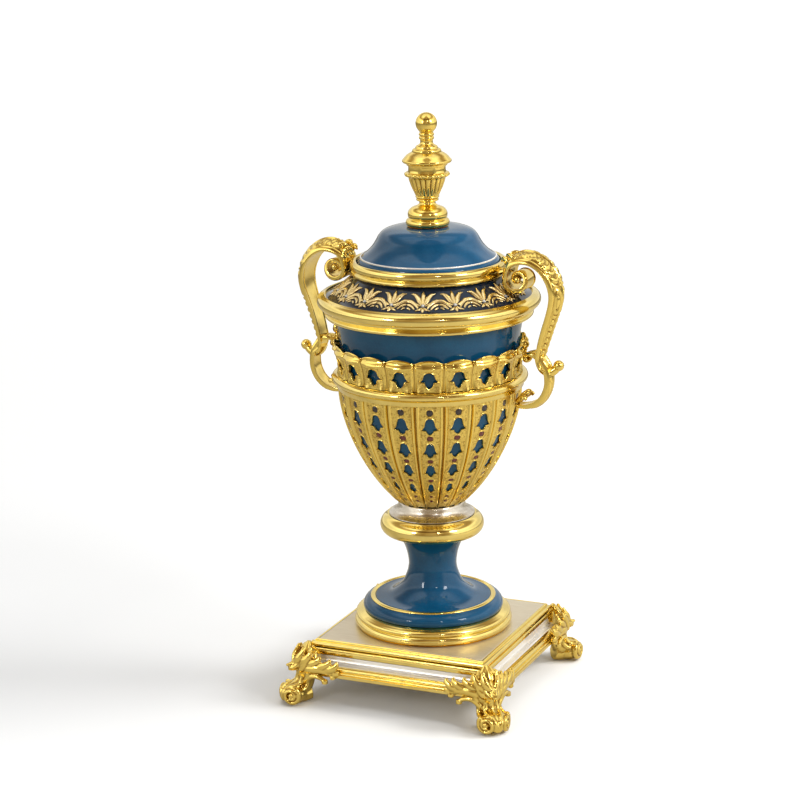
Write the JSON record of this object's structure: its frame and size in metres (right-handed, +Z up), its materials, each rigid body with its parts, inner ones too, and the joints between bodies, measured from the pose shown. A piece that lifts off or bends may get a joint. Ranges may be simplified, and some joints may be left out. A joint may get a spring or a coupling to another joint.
{
  "type": "openwork vase",
  "caption": "Lidded two-handled urn of blue glaze in a pierced gilt cage, with gilt rings, scroll handles and a square plinth on leaf feet.",
  "frame": {"origin": "on the ground under the middle of the square plinth", "axes": "+Z up along the vase's axis, X through the two handles, -Y to the front"},
  "size_m": [0.197, 0.1764, 0.404],
  "materials": {
    "gilt": "fire gilt, part burnished and part matte",
    "blue_glaze": "deep glossy glaze",
    "silver": "silvered, satin"
  },
  "bodies": {
    "root": {"plinth": "silver", "plinth_top_moulding": "gilt", "plinth_base_moulding": "gilt", "foot_front_right": "gilt", "foot_front_left": "gilt", "foot_back_right": "gilt", "foot_back_left": "gilt", "foot_ring": "gilt", "pedestal": "blue_glaze", "knop_ring": "gilt", "knop_collar": "silver", "bowl": "blue_glaze", "openwork_cage": "gilt", "girdle_ring": "gilt", "gallery": "gilt", "rim_ring": "gilt", "shoulder": "blue_glaze", "mouth_ring": "gilt", "lid": "blue_glaze", "finial": "gilt", "handle_right": "gilt", "handle_left": "gilt"}
  },
  "joints": []
}
